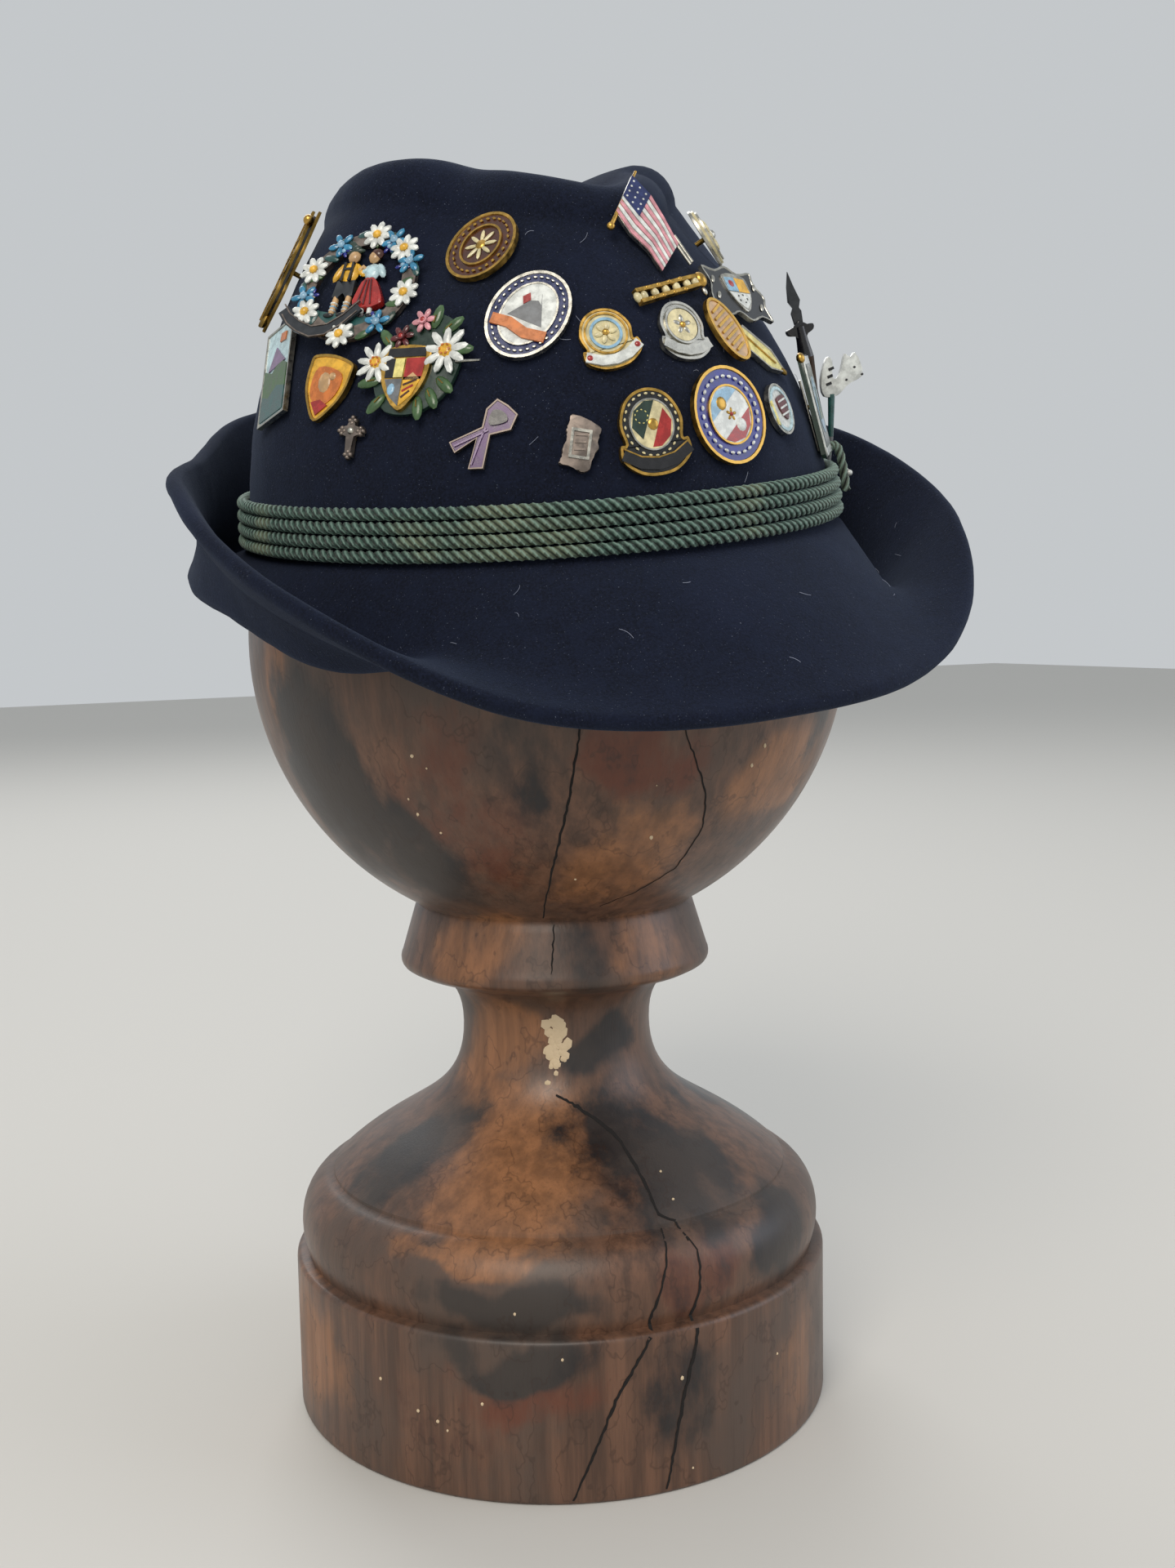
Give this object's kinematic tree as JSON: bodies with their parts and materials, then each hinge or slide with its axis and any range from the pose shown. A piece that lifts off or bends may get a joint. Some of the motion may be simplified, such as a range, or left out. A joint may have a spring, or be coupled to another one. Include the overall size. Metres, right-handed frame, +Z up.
{
  "type": "tyrolean hat on a turned wooden stand",
  "caption": "Felt Tyrolean hat with a creased crown, rolled brim, twisted cord band and enamel pins, resting on a turned wooden ball stand.",
  "frame": {"origin": "centre of the stand's foot, on the face it stands on", "axes": "+Z up along the stand's axis, -Y towards the hat's front, +X towards the wearer's left"},
  "size_m": [0.2244, 0.2416, 0.3684],
  "materials": {
    "wood": "oiled, streaked dark hardwood",
    "felt": "brushed navy wool felt",
    "cord": "twisted green and grey-green cord",
    "brass": "aged brass",
    "pewter": "worn pewter",
    "bronze": "dark patinated bronze",
    "enamel_blue": "glossy coloured enamel with polished edges",
    "enamel_yellow": "glossy yellow enamel",
    "enamel_dark": "glossy dark enamel",
    "enamel_white": "glossy white enamel"
  },
  "bodies": {
    "root": {"wood_stand": "wood", "hat_felt": "felt", "band_cord_1": "cord", "band_cord_2": "cord", "band_cord_3": "cord", "band_cord_4": "cord", "band_wrap": "cord", "pin_leaf_brooch": "brass", "pin_picture_plate": "enamel_blue", "pin_flower_wreath": "enamel_blue", "pin_yellow_shield": "enamel_yellow", "pin_blossom_shield": "enamel_blue", "pin_cross": "pewter", "pin_brown_round": "enamel_dark", "pin_ribbon": "enamel_blue", "pin_navy_round": "enamel_blue", "pin_cream_scroll": "brass", "pin_pewter_plate": "pewter", "pin_striped_flag": "enamel_blue", "pin_cast_bar": "brass", "pin_silver_oval": "pewter", "pin_dark_plate": "enamel_dark", "pin_silver_scroll": "pewter", "pin_gold_oval": "brass", "pin_yellow_plate": "enamel_yellow", "pin_black_scroll": "enamel_dark", "pin_blue_ring": "enamel_blue", "pin_white_oval": "enamel_white", "pin_large_plate": "enamel_white", "pin_spear": "bronze", "pin_white_figure": "enamel_white"}
  },
  "joints": []
}
